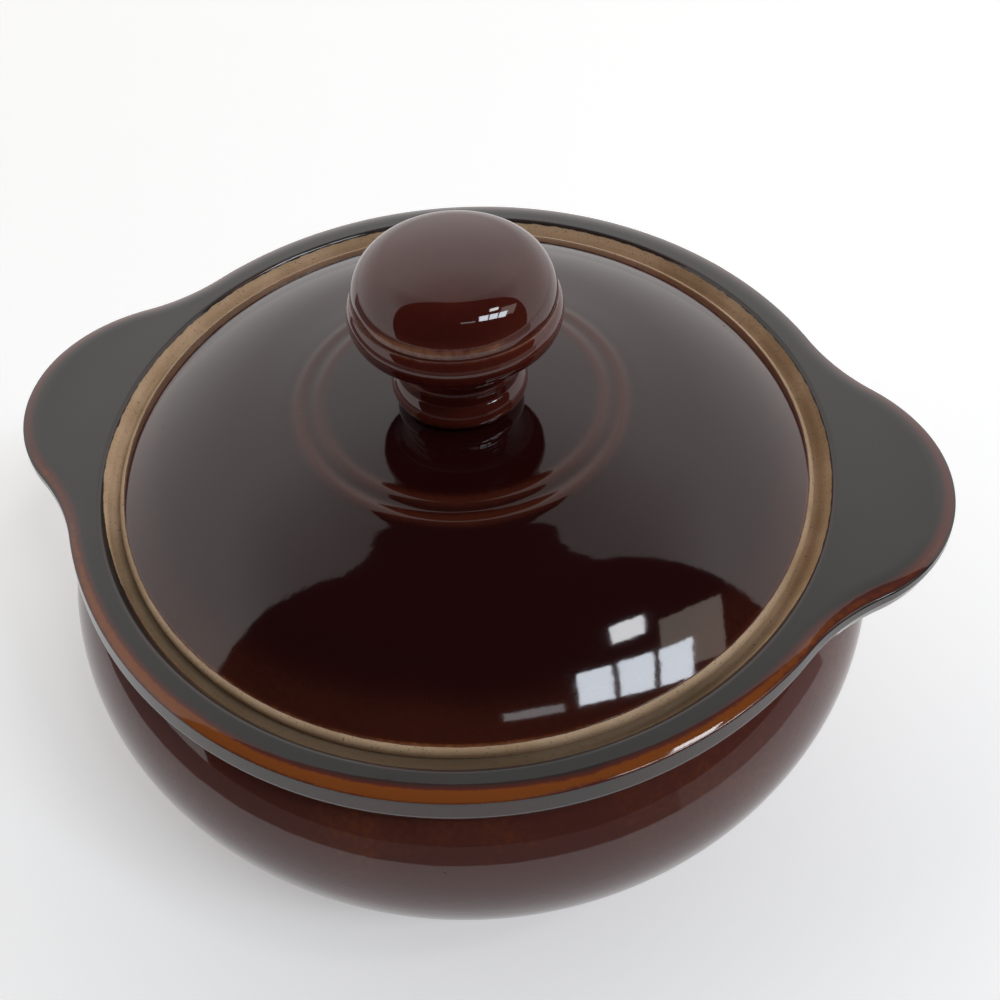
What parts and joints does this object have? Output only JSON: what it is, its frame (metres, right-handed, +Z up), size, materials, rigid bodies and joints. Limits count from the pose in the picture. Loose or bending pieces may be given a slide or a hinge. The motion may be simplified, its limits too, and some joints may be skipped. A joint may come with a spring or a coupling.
{
  "type": "lidded stoneware bean pot",
  "caption": "Squat round stoneware pot with a flat rim flange, two lug handles and a loose domed lid with a mushroom knob, in glossy brown glaze.",
  "frame": {"origin": "centre of the pot's foot, on the surface it stands on", "axes": "+Z up the pot's axis, +X out along the right-hand lug handle"},
  "size_m": [0.1764, 0.159, 0.1052],
  "materials": {
    "brown_glaze": "glossy treacle-brown glaze that breaks to rust on edges; bare tan clay on the foot ring, the gallery and the lid's edge"
  },
  "bodies": {
    "pot": {"pot_bowl": "brown_glaze", "handle_left": "brown_glaze", "handle_right": "brown_glaze"},
    "lid": {"lid_dome": "brown_glaze", "lid_knob": "brown_glaze"}
  },
  "joints": [
    {"name": "lid_lift", "type": "slide", "parent": "pot", "child": "lid", "axis": [0, 0, 1], "range_m": [0, 0.11]}
  ]
}
